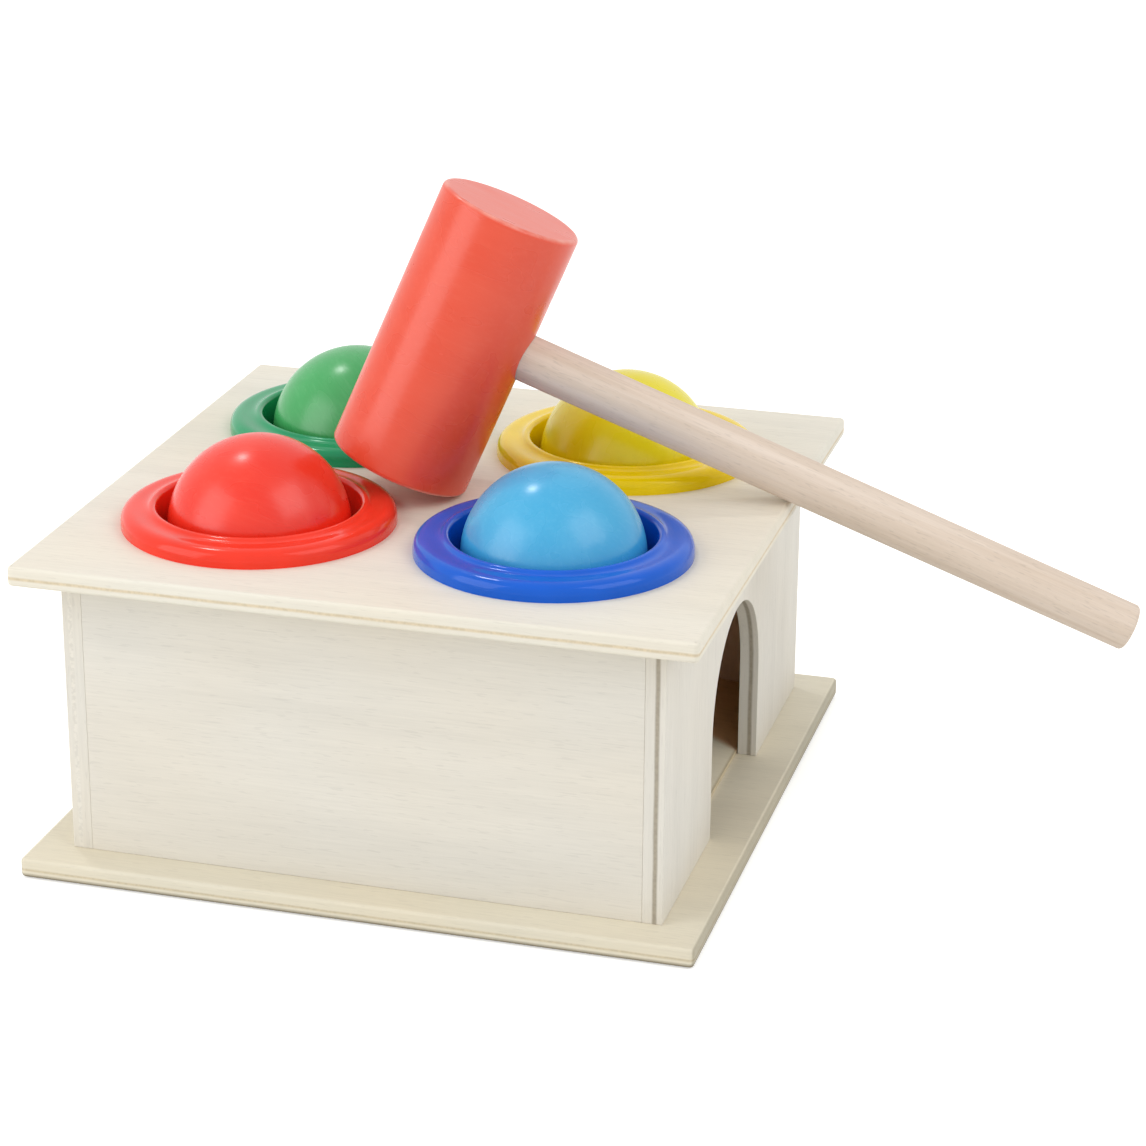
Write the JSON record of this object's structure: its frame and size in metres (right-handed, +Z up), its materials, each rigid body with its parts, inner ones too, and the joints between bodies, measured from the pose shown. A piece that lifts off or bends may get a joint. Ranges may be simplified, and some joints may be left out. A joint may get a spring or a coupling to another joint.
{
  "type": "ball pounding bench",
  "caption": "Square plywood box toy: coloured balls sit in flexible rings on top, drop through when struck with the mallet, and roll down a ramp out of an arched doorway.",
  "frame": {"origin": "centre of the base plate's underside, where the bench rests", "axes": "+Z up, +X towards the wall with the doorway, -Y towards the front"},
  "size_m": [0.2552, 0.169, 0.16],
  "materials": {
    "plywood_base": "clear satin lacquer on basswood plywood",
    "plywood_top": "clear satin lacquer on basswood plywood",
    "plywood_wall": "clear satin lacquer on basswood plywood",
    "plywood_ramp": "sanded basswood plywood",
    "rail_pine": "sanded solid wood",
    "ring_red": "glossy flexible moulded plastic",
    "ring_blue": "glossy flexible moulded plastic",
    "ring_green": "glossy flexible moulded plastic",
    "ring_yellow": "glossy flexible moulded plastic",
    "ball_red": "satin water-based paint on a turned ball",
    "ball_blue": "satin water-based paint on a turned ball",
    "ball_green": "satin water-based paint on a turned ball",
    "ball_yellow": "satin water-based paint on a turned ball",
    "mallet_paint": "satin coral paint on turned beech",
    "mallet_beech": "sanded bare beech dowel"
  },
  "bodies": {
    "box": {"base_plate": "plywood_base", "top_plate": "plywood_top", "left_wall": "plywood_wall", "right_wall": "plywood_wall", "front_wall": "plywood_wall", "back_wall": "plywood_wall", "ramp_board": "plywood_ramp", "ramp_rail_front": "rail_pine", "ramp_rail_back": "rail_pine", "ring_red": "ring_red", "ring_blue": "ring_blue", "ring_green": "ring_green", "ring_yellow": "ring_yellow"},
    "red_ball": {"ball_red": "ball_red"},
    "blue_ball": {"ball_blue": "ball_blue"},
    "green_ball": {"ball_green": "ball_green"},
    "yellow_ball": {"ball_yellow": "ball_yellow"},
    "mallet": {"mallet_head": "mallet_paint", "mallet_handle": "mallet_beech"}
  },
  "joints": [
    {"name": "red_ball_drop", "type": "slide", "parent": "box", "child": "red_ball", "axis": [0, 0, 1], "range_m": [-0.0411, 0], "deforming": ["ring_red"]},
    {"name": "blue_ball_drop", "type": "slide", "parent": "box", "child": "blue_ball", "axis": [0, 0, 1], "range_m": [-0.0481, 0], "deforming": ["ring_blue"]},
    {"name": "green_ball_drop", "type": "slide", "parent": "box", "child": "green_ball", "axis": [0, 0, 1], "range_m": [-0.041, 0], "deforming": ["ring_green"]},
    {"name": "yellow_ball_drop", "type": "slide", "parent": "box", "child": "yellow_ball", "axis": [0, 0, 1], "range_m": [-0.0479, 0], "deforming": ["ring_yellow"]},
    {"name": "mallet_lift", "type": "slide", "parent": "box", "child": "mallet", "axis": [0, 0, 1], "range_m": [0, 0.12]}
  ]
}
